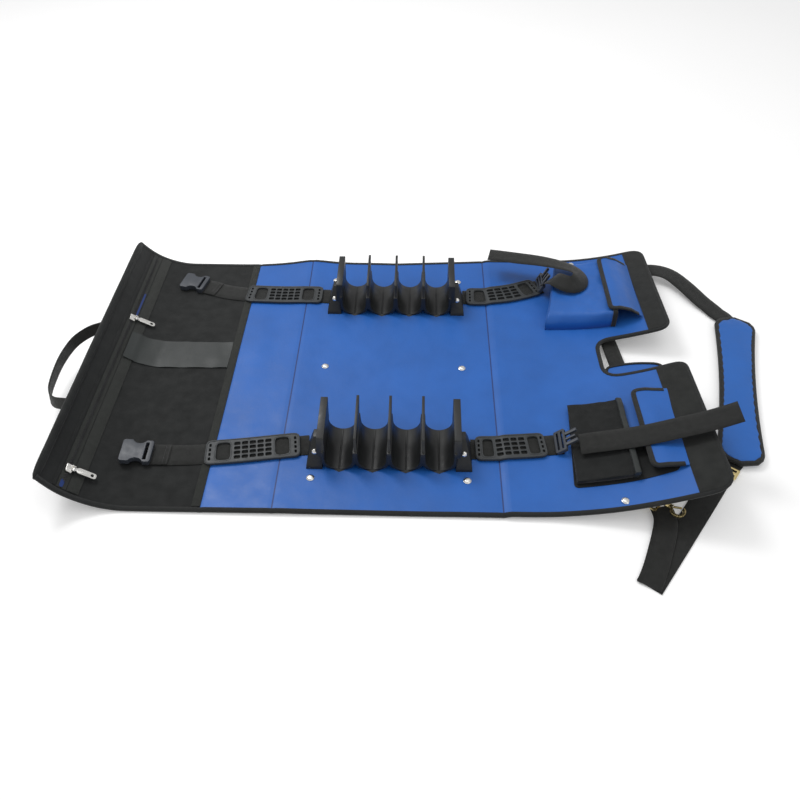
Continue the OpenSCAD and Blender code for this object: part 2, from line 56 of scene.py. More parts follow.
CENTRE_LOW, CENTRE_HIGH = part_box("centre_cover")
SHEET = CENTRE_HIGH[2]
FOLD_LEFT, FOLD_RIGHT = CENTRE_LOW[0], CENTRE_HIGH[0]
FOLD_SIDE = round(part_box("side_cover")[0][0], 3)
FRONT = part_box("centre_bindings")[0][1]
RIGHT_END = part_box("right_bindings")[1][0]
END_T = FOLD_SIDE - 0.294
CURL_R = 0.142
NOTCH_X, NOTCH_FRONT, NOTCH_REAR = 0.424, -0.040, 0.068
FOLD_HALF = 0.014
BIND_W = 0.009
WEB_W, WEB_T = 0.048, 0.0018
GRIP_W = 0.057
INSET = 0.0045
COVER_T, BACKING_T, BACKING_DROP = 0.0022, 0.0018, 0.0024
EDGE_DROP = 0.0021
ZIP_T = FOLD_SIDE - 0.242
ZIP_FRONT, ZIP_REAR, TOOTH = -0.345, 0.322, 0.0028

# Each fold: its x, the body that stays, the body that swings, and the side where that body lies.
FOLDS = {
    "pocket_fold": (FOLD_SIDE, "side_wall", "pocket_panel", -1),
    "side_fold": (FOLD_LEFT, "centre", "side_wall", -1),
    "right_fold": (FOLD_RIGHT, "centre", "right_panel", 1),
}

FRONT_LEFT = [(-0.490, -0.250), (-0.337, -0.245), (-0.140, -0.217)]
REAR_LEFT = [(-0.490, 0.262), (-0.440, 0.252), (-0.337, 0.226), (-0.140, 0.222)]
FRONT_RIGHT = [(0.140, -0.222), (0.200, -0.221), (0.300, -0.212), (0.345, -0.210)]
REAR_RIGHT = [(0.140, 0.226), (0.200, 0.226), (0.260, 0.238), (0.320, 0.262), (0.345, 0.272)]
BACK_EDGE = [(-0.65, 0.341), (-0.324, 0.342), (-0.2, 0.355), (0.0, 0.352), (0.2, 0.366), (0.6, 0.370)]


# ---- shape of the open bag ----

def smooth(x):
    x = min(1.0, max(0.0, x))
    return x * x * (3 - 2 * x)


def lookup(x, pairs):
    """Straight-line value between (x, y) pairs."""
    for (x0, y0), (x1, y1) in zip(pairs, pairs[1:]):
        if x <= x1:
            return y0 + (y1 - y0) * max(0.0, x - x0) / (x1 - x0)
    return pairs[-1][1]


def back(t):
    """The y of the back edge, which steps a little from panel to panel."""
    return lookup(t, BACK_EDGE)


def depth_at(t):
    """Depth of the cloth between the bindings."""
    return back(t) - FRONT - 2 * INSET


def lift(x, y):
    """Rise of the right panel over the floor."""
    step = 0.003 * smooth((x - FOLD_RIGHT + 0.004) / 0.020)
    return step + 0.8 * max(0.0, x - FOLD_RIGHT - 0.090 - y * 60 / 370) ** 2


def curl_start(y):
    return FOLD_SIDE - 0.141 - y * 15 / 370


def surface(t, y, h=0.0):
    """A point h above the bag's upper face; t is x, carried on along the cloth round the curled end."""
    passed = curl_start(y) - t
    if passed > 0:
        a = passed / CURL_R
        r = CURL_R - h
        return Vector((curl_start(y) - r * math.sin(a), y, SHEET + CURL_R - r * math.cos(a)))
    return Vector((t, y, SHEET + h + (lift(t, y) if t > FOLD_RIGHT - 0.01 else 0.0)))


def circle(n):
    """Cosine and sine of n even steps round a circle."""
    return [(math.cos(2 * math.pi * k / n), math.sin(2 * math.pi * k / n)) for k in range(n)]


def tent(x, half):
    return max(0.0, 1 - abs(x) / half)


def wave(t, y):
    """Soft unevenness of cloth that lies on the floor, never below it."""
    broad = noise.noise(Vector((t * 5, y * 4, 0.3))) + 0.5 * noise.noise(Vector((t * 13, y * 11, 2.0)))
    h = 0.0011 * (1 + broad)
    for fold, rise in ((FOLD_LEFT, 0.0020), (FOLD_SIDE, 0.0006), (FOLD_RIGHT, 0.0004)):
        h += rise * smooth(tent(t - fold, 0.055)) * (0.65 + 0.35 * y / 0.35)
        h -= 0.0009 * tent(t - fold, 0.004)
    h += 0.004 * smooth((y - 0.25) / 0.1) * smooth(tent(t - FOLD_LEFT, 0.10))
    h += 0.002 * smooth(tent(t + 0.285, 0.04)) * smooth(tent(y - 0.05, 0.22))
    h *= 1 - 0.8 * smooth(tent(t - ZIP_T, 0.045))
    return max(h, 0.0)


# ---- mesh helpers ----

def linked(name, mesh):
    obj = bpy.data.objects.new(name, mesh)
    bpy.context.scene.collection.objects.link(obj)
    return obj


def discard(obj):
    mesh = obj.data
    bpy.data.objects.remove(obj)
    bpy.data.meshes.remove(mesh)


def reshape(mesh, change):
    """Open a mesh in bmesh, run change on it and write it back."""
    work = bmesh.new()
    work.from_mesh(mesh)
    change(work)
    work.to_mesh(mesh)
    work.free()


def shade(mesh, sharp, soft=True):
    """Smooth shading, broken at edges sharper than an angle in degrees."""
    for face in mesh.polygons:
        face.use_smooth = soft
    mesh.set_sharp_from_angle(angle=math.radians(sharp))


def make(name, verts, faces, uvs=None, flat=False):
    mesh = bpy.data.meshes.new(name)
    mesh.from_pydata([tuple(v) for v in verts], [], faces)
    if uvs:
        layer = mesh.uv_layers.new(name="UVMap")
        for loop in mesh.loops:
            layer.data[loop.index].uv = uvs[loop.vertex_index]
    mesh.validate()
    reshape(mesh, lambda work: bmesh.ops.recalc_face_normals(work, faces=work.faces))
    shade(mesh, 52, not flat)
    return linked(name, mesh)


def inside(x, y, loop):
    hit = False
    for (x0, y0), (x1, y1) in zip(loop, loop[1:] + loop[:1]):
        if (y0 > y) != (y1 > y) and x < x0 + (y - y0) * (x1 - x0) / (y1 - y0):
            hit = not hit
    return hit


def spaced(loop, step):
    """A closed outline with points about a step apart."""
    out = []
    for (x0, y0), (x1, y1) in zip(loop, loop[1:] + loop[:1]):
        n = max(1, round(math.hypot(x1 - x0, y1 - y0) / step))
        out += [(x0 + (x1 - x0) * i / n, y0 + (y1 - y0) * i / n) for i in range(n)]
    return out


def rect(x0, y0, x1, y1):
    return [(x0, y0), (x1, y0), (x1, y1), (x0, y1)]


def rounded(corners, radius, steps=6):
    """An outline whose corners are turned into arcs; each corner is (x, y) or (x, y, radius)."""
    out = []
    n = len(corners)
    for i, corner in enumerate(corners):
        r = corner[2] if len(corner) > 2 else radius
        p = Vector(corner[:2])
        a = Vector(corners[i - 1][:2]) - p
        b = Vector(corners[(i + 1) % n][:2]) - p
        reach = min(r, a.length * 0.49, b.length * 0.49)
        if reach < 1e-5:
            out.append(tuple(p))
            continue
        start, end = p + a.normalized() * reach, p + b.normalized() * reach
        for k in range(steps + 1):
            f = k / steps
            q = start * (1 - f) ** 2 + p * 2 * f * (1 - f) + end * f * f
            out.append(tuple(q))
    return out


def plate(name, outline, top, thick, step=0.008, holes=()):
    """A closed sheet with the given outline in (t, y); top(t, y, h) places each point."""
    loops = [spaced(list(loop), step) for loop in (outline, *holes)]
    points, edges, cells = [], [], {}
    for loop in loops:
        base, n = len(points), len(loop)
        points += [Vector(p) for p in loop]
        edges += [(base + i, base + (i + 1) % n) for i in range(n)]
    for p in points:
        cells.setdefault((round(p.x / step), round(p.y / step)), []).append(p)

    def within(x, y):
        return inside(x, y, loops[0]) and not any(inside(x, y, hole) for hole in loops[1:])

    low_x, low_y = (min(p[k] for p in loops[0]) for k in (0, 1))
    high_x, high_y = (max(p[k] for p in loops[0]) for k in (0, 1))
    for i in range(1, int((high_x - low_x) / step) + 1):
        for j in range(1, int((high_y - low_y) / step) + 1):
            x, y = low_x + i * step, low_y + j * step
            near = [q for a in (-1, 0, 1) for b in (-1, 0, 1)
                    for q in cells.get((round(x / step) + a, round(y / step) + b), [])]
            crowded = any((q.x - x) ** 2 + (q.y - y) ** 2 < (0.6 * step) ** 2 for q in near)
            if not crowded and within(x, y):
                points.append(Vector((x, y)))
    verts, _, faces, *_ = delaunay_2d_cdt(points, edges, [], 1, 1e-7)
    kept = [tuple(f) for f in faces
            if within(sum(verts[i].x for i in f) / len(f), sum(verts[i].y for i in f) / len(f))]
    sides = {pair: None for f in kept for pair in zip(f, f[1:] + f[:1])}
    n = len(verts)
    walls = [(b, a, n + a, n + b) for a, b in sides if (b, a) not in sides]
    return make(name, [top(v.x, v.y, h) for h in (0.0, -thick) for v in verts],
            kept + [tuple(n + i for i in reversed(f)) for f in kept] + walls,
            [(v.x, v.y) for v in verts] * 2)


def curve_through(points, step):
    """Catmull-Rom line through points of any dimension, resampled at about a step."""
    pts = [list(p) for p in points]
    pts = [[2 * a - b for a, b in zip(pts[0], pts[1])]] + pts
    pts += [[2 * a - b for a, b in zip(pts[-1], pts[-2])]]
    out = []
    for p0, p1, p2, p3 in zip(pts, pts[1:], pts[2:], pts[3:]):
        gap = math.dist(p1[:3], p2[:3])
        n = max(1, round(gap / step))
        for i in range(n):
            f = i / n
            out.append([
                0.5 * (2 * b + (c - a) * f + (2 * a - 5 * b + 4 * c - d) * f * f
                    + (3 * b - a - 3 * c + d) * f ** 3)
                for a, b, c, d in zip(p0, p1, p2, p3)])
    out.append(pts[-2])
    return out


def loft(name, rings, closed=False, caps=True):
    """Skin over rings of points that all have the same length."""
    n, m = len(rings), len(rings[0])
    around = [0.0]
    for a, b in zip(rings[0], rings[0][1:]):
        around.append(around[-1] + (Vector(a) - Vector(b)).length)
    uvs, run = [], 0.0
    for i, ring in enumerate(rings):
        if i:
            run += (Vector(ring[0]) - Vector(rings[i - 1][0])).length
        uvs += [(run, a) for a in around]
    faces = [(i * m + j, i * m + (j + 1) % m, (i + 1) % n * m + (j + 1) % m, (i + 1) % n * m + j)
            for i in range(n if closed else n - 1) for j in range(m)]
    if caps and not closed:
        faces += [tuple(range(m - 1, -1, -1)), tuple(range((n - 1) * m, n * m))]
    return make(name, [p for ring in rings for p in ring], faces, uvs)


def band_section(w, t):
    """Outline of flat webbing, w wide and t thick, with soft edges."""
    e = min(t / 2, WEB_T / 2)
    return ((-w / 2, t / 2), (-w / 2 + e, 0.0), (0.0, 0.0), (w / 2 - e, 0.0), (w / 2, t / 2),
            (w / 2 - e, t), (w / 4, t), (0.0, t), (-w / 4, t), (-w / 2 + e, t))


def webbing(name, path, w, t=WEB_T, step=0.008):
    """Flat webbing along [x, y, z, tilt in degrees] points; a tilt of 90 stands it on its edge."""
    pts = curve_through(path, step)
    rings = []
    for i, p in enumerate(pts):
        a, b = pts[max(0, i - 1)], pts[min(len(pts) - 1, i + 1)]
        d = (Vector(b[:3]) - Vector(a[:3])).normalized()
        side = Vector((0, 0, 1)).cross(d).normalized()
        tilt = math.radians(p[3])
        across = side * math.cos(tilt) + d.cross(side) * math.sin(tilt)
        rings.append([Vector(p[:3]) + across * a + d.cross(across) * b for a, b in band_section(w, t)])
    return loft(name, rings)


def lay(path, step=0.004):
    """Follows a path over the bag's face: lay(path)(a, b, h) is a along it, b beside it, h above."""
    pts = [Vector(p) for p in curve_through([(x, y, 0) for x, y in path], step)]
    run = [0.0]
    for a, b in zip(pts, pts[1:]):
        run.append(run[-1] + (b - a).length)

    def place(a, b, h):
        i = 0
        while i < len(run) - 2 and run[i + 1] < a:
            i += 1
        f = (a - run[i]) / (run[i + 1] - run[i])
        p = pts[i].lerp(pts[i + 1], f)
        d0 = (pts[min(i + 1, len(pts) - 1)] - pts[max(i - 1, 0)]).normalized()
        d1 = (pts[min(i + 2, len(pts) - 1)] - pts[i]).normalized()
        d = d0.lerp(d1, f)
        side = Vector((-d.y, d.x, 0)).normalized()
        q = p + side * b
        return surface(q.x, q.y, wave(q.x, q.y) * 0.6 + h)

    place.length = run[-1]
    place.run = run
    place.pts = pts
    return place


def reach(place, x):
    """How far along a laid path a given x lies."""
    for r, p, q in zip(place.run, place.pts, place.pts[1:]):
        if p.x <= x <= q.x:
            return r + (x - p.x)
    return 0.0 if x < place.pts[0].x else place.length


def laid_band(name, place, a0, a1, w, h, t=WEB_T, step=0.006):
    """Webbing that lies along a path over the bag."""
    n = max(2, int((a1 - a0) / step))
    return loft(name, [[place(a0 + (a1 - a0) * i / n, b, h + c) for b, c in band_section(w, t)]
            for i in range(n + 1)])


def edge_tape(name, line, out, ups, wide=BIND_W, high=0.0032, closed=False, proud=0.0015):
    """Folded binding tape round an edge: its points, with the outward and the upward direction at each."""
    section = ((1.0, 0.0), (0.86, 0.62), (0.45, 0.95), (-0.45, 1.0), (-0.95, 0.86), (-1.0, 0.5),
            (-1.0, -0.5), (-0.95, -0.86), (-0.45, -1.0), (0.45, -0.95), (0.86, -0.62))
    rings = [[p - o * (wide / 2 - proud) + o * (wide / 2 * c) + up * (high * s) for c, s in section]
            for p, o, up in zip(line, out, ups)]
    return loft(name, rings, closed=closed)


def rim(points, top, h, side=1, closed=False):
    """The line, outward and upward directions along an outline that top(a, b, h) places."""
    line, out, ups = [], [], []
    n = len(points)
    for i, (a, b) in enumerate(points):
        before, after = points[i - 1], points[(i + 1) % n]
        if not closed:
            before, after = points[max(0, i - 1)], points[min(n - 1, i + 1)]
        d = Vector((after[0] - before[0], after[1] - before[1])).normalized()
        line.append(top(a, b, h))
        out.append((top(a + d.y * 0.002, b - d.x * 0.002, h) - line[-1]).normalized() * side)
        ups.append((top(a, b, 0.01) - top(a, b, 0.0)).normalized())
    return line, out, ups


def join(name, parts):
    """Several meshes made into one piece."""
    mesh = bpy.data.meshes.new(name)
    work = bmesh.new()
    for part in parts:
        work.from_mesh(part.data)
        discard(part)
    work.to_mesh(mesh)
    work.free()
    return linked(name, mesh)


def split(obj, x, left, right):
    """Two pieces from one, parted where faces lie left or right of x."""
    pieces = []
    for name, keep_left in ((left, True), (right, False)):
        mesh = obj.data.copy()
        mesh.name = name
        reshape(mesh, lambda work, keep=keep_left: bmesh.ops.delete(
            work, geom=[f for f in work.faces if (f.calc_center_median().x < x) != keep], context="FACES"))
        pieces.append(linked(name, mesh))
    discard(obj)
    return pieces


# ---- materials ----

def shader(name):
    mat = bpy.data.materials.new(name)
    mat.use_nodes = True
    return mat, mat.node_tree, mat.node_tree.nodes["Principled BSDF"]


def put(node, **values):
    """Set a node's inputs or properties; an underscore in an input's name stands for a space."""
    for key, value in values.items():
        name = key.replace("_", " ")
        if name not in node.inputs:
            setattr(node, key, value)
        elif isinstance(value, bpy.types.NodeSocket):
            node.id_data.links.new(value, node.inputs[name])
        else:
            node.inputs[name].default_value = value
    return node


def add(tree, kind, **values):
    return put(tree.nodes.new(kind), **values)


def coords(tree, kind, pitch):
    """Texture coordinates scaled so that one unit is a pitch, in metres."""
    source = add(tree, "ShaderNodeTexCoord").outputs[kind]
    return add(tree, "ShaderNodeMapping", Vector=source, Scale=(1 / pitch,) * 3).outputs["Vector"]


def grain(tree, size, detail=3.0, roughness=0.5):
    """Soft spots of a size, in metres."""
    return add(tree, "ShaderNodeTexNoise", Vector=coords(tree, "Object", size), Scale=1.0, Detail=detail,
            Roughness=roughness).outputs["Fac"]


def fine_grain(tree, size):
    return grain(tree, size, 2.0)


def weave(tree, pitch, diagonal=0.0):
    """Over-and-under threads: two crossed sets of ridges, a pitch apart."""
    one_ridge_a_unit = 0.314
    turned = add(tree, "ShaderNodeMapping", Vector=coords(tree, "UV", pitch), Rotation=(0, 0, diagonal))
    both = add(tree, "ShaderNodeMath", operation="MAXIMUM")
    for direction, socket in zip("XY", both.inputs):
        ridges = add(tree, "ShaderNodeTexWave", bands_direction=direction, Vector=turned.outputs["Vector"],
                Scale=one_ridge_a_unit, Distortion=0.3)
        tree.links.new(ridges.outputs["Fac"], socket)
    return both.outputs["Value"]


def tint(tree, bsdf, base, spread, size):
    """Base colour with soft blotches, darker and lighter by the spread."""
    ramp = add(tree, "ShaderNodeValToRGB", Fac=grain(tree, size, 4.0, 0.6))
    for k, place, shift in ((0, 0.3, -spread), (1, 0.7, spread)):
        ramp.color_ramp.elements[k].position = place
        ramp.color_ramp.elements[k].color = tuple(min(1, c * (1 + shift)) for c in base) + (1,)
    put(bsdf, Base_Color=ramp.outputs["Color"])


def rough_spots(tree, bsdf, low, high, size):
    span = add(tree, "ShaderNodeMapRange", Value=grain(tree, size, 5.0), From_Min=0.3, From_Max=0.7,
            To_Min=low, To_Max=high)
    put(bsdf, Roughness=span.outputs["Result"])


def look(name, slot, base, blotches, patches, relief, **settings):
    """A material, with the record's slot for the pieces that wear it.

    blotches: spread and size of the colour's spots. patches: low, high and size of the roughness's spots.
    relief: layers of (pattern, pitch, strength, depth), each over the one before.
    """
    mat, tree, bsdf = shader(name)
    tint(tree, bsdf, base, *blotches)
    rough_spots(tree, bsdf, *patches)
    for pattern, pitch, strength, depth in relief:
        bump = add(tree, "ShaderNodeBump", Strength=strength, Distance=depth, Height=pattern(tree, pitch))
        if bsdf.inputs["Normal"].is_linked:
            put(bump, Normal=bsdf.inputs["Normal"].links[0].from_socket)
        put(bsdf, Normal=bump.outputs["Normal"])
    put(bsdf, **settings)
    return mat, slot


def coated_cloth(name, slot, base):
    """Smooth coated cloth with a satin shine and a fine weave underneath."""
    return look(name, slot, base, (0.10, 0.12), (0.38, 0.52, 0.03),
            [(weave, 0.0011, 0.18, 0.0002), (grain, 0.05, 0.25, 0.004)],
            Specular_IOR_Level=0.42, Sheen_Weight=0.06)


def coarse_cloth(name, slot, base, pitch=0.0013):
    """Heavy woven nylon with little shine."""
    return look(name, slot, base, (0.22, 0.05), (0.62, 0.8, 0.02),
            [(weave, pitch, 0.5, 0.0004), (grain, 0.06, 0.3, 0.005)],
            Specular_IOR_Level=0.25, Sheen_Weight=0.12, Sheen_Roughness=0.5)


def woven_tape(name, slot, base, pitch, diagonal=0.0):
    """Webbing or binding tape: heavy ribs across the tape."""
    return look(name, slot, base, (0.25, 0.02), (0.55, 0.75, 0.01),
            [(lambda tree, size: weave(tree, size, diagonal), pitch, 0.7, 0.0006)],
            Specular_IOR_Level=0.3, Sheen_Weight=0.15)


def moulded(name, slot, base, low, high, pitch=0.0009):
    """Moulded plastic or rubber with a fine spark-eroded grain and light scuffs."""
    return look(name, slot, base, (0.12, 0.02), (low, high, 0.012),
            [(fine_grain, pitch, 0.25, 0.00012), (grain, 0.02, 0.15, 0.0008)], Specular_IOR_Level=0.45)


def metal(name, slot, base, low, high):
    """Plated metal with fine scratches and handled spots."""
    return look(name, slot, base, (0.08, 0.006), (low, high, 0.004), [(grain, 0.0012, 0.12, 0.00008)],
            Metallic=1.0)


BLUE = coated_cloth("blue_vinyl_look", "blue_vinyl", (0.010, 0.106, 0.420))
# A darker copy of the blue vinyl: painted shade for the grooves of the fold seams and for the lining down in
# the zip's gap.
BLUE_PAINTED_SHADE = coated_cloth("blue_vinyl_shade_look", "blue_vinyl", (0.004, 0.028, 0.150))
PAD_BLUE = coated_cloth("pad_blue_look", "pad_blue", (0.013, 0.116, 0.440))
BLACK = coarse_cloth("black_nylon_look", "black_nylon", (0.0048, 0.0058, 0.0058))
BACKING = coarse_cloth("backing_look", "black_nylon", (0.012, 0.013, 0.013), 0.0016)
GREY = coated_cloth("grey_band_look", "grey_band", (0.018, 0.022, 0.0215))
GREY_DARK = coarse_cloth("end_band_look", "grey_band", (0.011, 0.012, 0.011), 0.0015)
TAPE = woven_tape("binding_look", "black_binding", (0.008, 0.009, 0.009), 0.0012)
WEB = woven_tape("webbing_look", "black_webbing", (0.0056, 0.0062, 0.0054), 0.0018, 0.7)
SEAM_TAPE = woven_tape("seam_tape_look", "grey_band", (0.0095, 0.0115, 0.0092), 0.0012)
RUBBER = moulded("grip_look", "grip_rubber", (0.034, 0.038, 0.041), 0.42, 0.58)
HOLDER = moulded("holder_look", "holder_rubber", (0.012, 0.013, 0.0135), 0.34, 0.50, 0.0014)
PLASTIC = moulded("buckle_look", "buckle_plastic", (0.040, 0.046, 0.058), 0.36, 0.5)
NICKEL = metal("nickel_look", "nickel", (0.80, 0.79, 0.76), 0.16, 0.34)
BRASS = metal("brass_look", "brass_fittings", (0.72, 0.58, 0.28), 0.18, 0.38)
THREAD = woven_tape("thread_look", "black_webbing", (0.03, 0.03, 0.032), 0.0006)


def dress(obj, wear, *replaced, slot=None):
    """Give a piece its material, and hide the CAD nodes it stands for."""
    obj.data.materials.clear()
    obj.data.materials.append(wear[0])
    slot or wear[1]
    if replaced:
        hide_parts(*replaced)
    return obj


def mount(body, obj, wear, *replaced, slot=None):
    """Dress a piece that rides on one body."""
    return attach(dress(obj, wear, *replaced, slot=slot), body)


def over_fold(obj, fold):
    """Bake a dressed piece's transform into its mesh; the fold it lies across is looked up but not used."""
    x, still, moving, side = FOLDS[fold]
    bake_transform(obj)


def soft_edges(obj, width, segments=2):
    mod = obj.modifiers.new("edges", "BEVEL")
    mod.width = width
    mod.segments = segments
    mod.limit_method = "ANGLE"
    return obj


# ---- panels ----

def panel_top(t, y, h):
    return surface(t, y, wave(t, y) + h)


def zone(t0, t1, inset=INSET, step=0.02):
    """Outline of a stretch of the bag between t0 and t1, from the front edge to the back edge."""
    n = max(1, int((t1 - t0) / step))
    ts = [t0 + (t1 - t0) * i / n for i in range(n + 1)]
    return [(t, FRONT + inset) for t in ts] + [(t, back(t) - inset) for t in reversed(ts)]


def right_corners(inset):
    """Outline of the right panel with its notch, inset from the edge."""
    x0 = FOLD_RIGHT + FOLD_HALF
    x1 = RIGHT_END - inset
    nr, nf = NOTCH_REAR + inset, NOTCH_FRONT - inset
    return rounded([
        (x0, FRONT + inset, 0), (x1, FRONT + inset, 0.034), (x1, nf, 0.024),
        (NOTCH_X - inset, nf, 0.03), (NOTCH_X - inset, nr, 0.03), (x1, nr, 0.024),
        (x1, back(RIGHT_END) - inset, 0.034), (x0, back(x0) - inset, 0)], 0.02)


def raised(rise):
    """A placing function for a sheet whose upper face lies a rise above the panels' own."""
    return lambda t, y, h: panel_top(t, y, h + rise)


def panel(name, outline, wear, body, gone, flat):
    """A panel's cover and the backing under it, as sheets of one size that ride on the panel's body."""
    for part, rise, thick, side, nodes in (
            ("cover", 0.0, COVER_T, wear, gone),
            ("backing", -BACKING_DROP, BACKING_T, BACKING, [name + "_backing"])):
        cloth = plate(f"{name}_{part}_cloth", outline, raised(rise), thick)
        mount(body, cloth, side, *nodes)


def panels():
    for name, t0, t1, wear, body, gone in (
            ("pocket", END_T + 0.006, FOLD_SIDE - FOLD_HALF, BLACK, "pocket_panel",
            ["pocket_cover", "pocket_lining"]),
            ("side", FOLD_SIDE + FOLD_HALF, FOLD_LEFT - FOLD_HALF, BLUE, "side_wall", ["side_cover"]),
            ("centre", FOLD_LEFT + FOLD_HALF, FOLD_RIGHT - FOLD_HALF, BLUE, "centre",
            ["centre_cover", "centre_stiffener"])):
        panel(name, zone(t0, t1), wear, body, gone, (t1 - t0, depth_at((t0 + t1) / 2)))
    panel("right", right_corners(INSET), BLUE, "right_panel", ["right_cover"],
          (RIGHT_END - FOLD_RIGHT - FOLD_HALF, depth_at(0.4)))


def folds():
    """Strips of cloth over each fold."""
    seam_half = 0.0012
    for name in ("side_fold", "pocket_fold", "right_fold"):
        x = FOLDS[name][0]
        low, high = x - FOLD_HALF, x + FOLD_HALF
        two_cloths = name == "pocket_fold"
        strips = [("cloth", x if two_cloths else low, high, BLUE, 0.0, COVER_T)]
        if two_cloths:
            strips.append(("black", low, x, BLACK, 0.0, COVER_T))
        strips.append(("backing", low, high, BACKING, -BACKING_DROP, BACKING_T))
        if not two_cloths:
            # The seam strip is painted shade: the blue vinyl made darker for the shadow in the fold's groove.
            strips.append(("seam", x - seam_half, x + seam_half, BLUE_PAINTED_SHADE, 0.0003, 0.0006))
        for part, t0, t1, wear, rise, thick in strips:
            piece = plate(f"{name}_{part}", zone(t0, t1, step=0.002), raised(rise), thick, step=0.004)
            over_fold(dress(piece, wear), name)
            if part != "seam":
                depth_at(x)


def up_at(t, y):
    return (panel_top(t, y, 0.01) - panel_top(t, y, 0.0)).normalized()


def straight_edge(name, t0, t1, rear, *replaced):
    """Dressed binding along the front or back edge between t0 and t1."""
    n = max(4, int((t1 - t0) / 0.008))
    line, out, ups = [], [], []
    for i in range(n + 1):
        t = t0 + (t1 - t0) * i / n
        y = back(t) if rear else FRONT
        slope = (back(t + 0.004) - back(t - 0.004)) / 0.008
        line.append(panel_top(t, y, -EDGE_DROP))
        out.append(Vector((-slope, 1, 0)).normalized() if rear else Vector((0, -1, 0)))
        ups.append(up_at(t, y))
    return dress(edge_tape(name, line, out, ups), TAPE, *replaced)


def bindings():
    for end, rear in (("front", False), ("back", True)):
        for name, t0, t1, body in (
                ("pocket", END_T + 0.004, FOLD_SIDE - FOLD_HALF, "pocket_panel"),
                ("side", FOLD_SIDE + FOLD_HALF, FOLD_LEFT - FOLD_HALF, "side_wall"),
                ("centre", FOLD_LEFT + FOLD_HALF, FOLD_RIGHT - FOLD_HALF, "centre")):
            gone = [name + "_bindings"] if rear else []
            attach(straight_edge(f"{name}_binding_{end}", t0, t1, rear, *gone), body)
        for fold, (x, _, moving, _) in FOLDS.items():
            over_fold(straight_edge(f"fold_binding_{moving}_{end}", x - FOLD_HALF, x + FOLD_HALF, rear), fold)
    x0 = FOLD_RIGHT + FOLD_HALF
    outline = spaced(right_corners(0.0), 0.007)
    first = outline.index(min(outline, key=lambda p: math.dist(p, (x0, FRONT))))
    outline = outline[first:] + outline[:first]
    last = max(i for i, p in enumerate(outline) if p[0] > x0 + 0.001)
    run = outline[:last + 1] + [(x0, back(x0))]
    mount("right_panel", edge_tape("right_binding", *rim(run, panel_top, -EDGE_DROP)), TAPE, "right_bindings")


def end_roll():
    """Thick padded roll along the curled end of the pocket panel."""
    rings = []
    t, drop, n = END_T + 0.005, -0.0022, 90
    for i in range(n + 1):
        y = FRONT - 0.001 + (back(END_T) - FRONT + 0.002) * i / n
        along = (surface(END_T + 0.004, y, drop) - surface(END_T + 0.008, y, drop)).normalized()
        up = (surface(t, y, 0.01) - surface(t, y, 0.0)).normalized()
        from_end = min(1.0, min(i, n - i) / 5)
        size = 0.35 + 0.65 * math.sqrt(1 - (1 - from_end) ** 2)
        size *= 1 + 0.04 * noise.noise(Vector((y * 12, 0, 5)))
        rings.append([surface(t, y, drop) + along * (0.0078 * size * c) + up * (0.0058 * size * s)
                for c, s in circle(16)])
    mount("pocket_panel", loft("end_roll_cloth", rings), BLACK, "pocket_end_roll", slot="black_binding")


# ---- pocket panel's trim ----

def pocket_trim():
    outline = zone(FOLD_SIDE - 0.0155, FOLD_SIDE - 0.0005, 0.009, 0.003)
    strip = plate("seam_tape_cloth", outline, raised(0.0013), 0.0013, step=0.004)
    over_fold(dress(strip, SEAM_TAPE, "seam_tape"), "pocket_fold")
    end, start, mid = FOLD_SIDE - 0.232, FOLD_SIDE - 0.0158, 0.022

    def band_top(t, y, h):
        crease = 0.0018 * noise.noise(Vector((t * 40, y * 14, 7.0)))
        over_placket = 0.0026 * smooth((FOLD_SIDE - 0.205 - t) / 0.006)
        return panel_top(t, y, h + 0.0022 + over_placket + max(-0.0008, crease))
    outline = [(end, mid - 0.039), (start, mid - 0.038), (start, mid + 0.039), (end, mid + 0.039)]
    band = plate("grey_band_cloth", outline, band_top, 0.0014, step=0.005)
    mount("pocket_panel", band, GREY, "pocket_band")


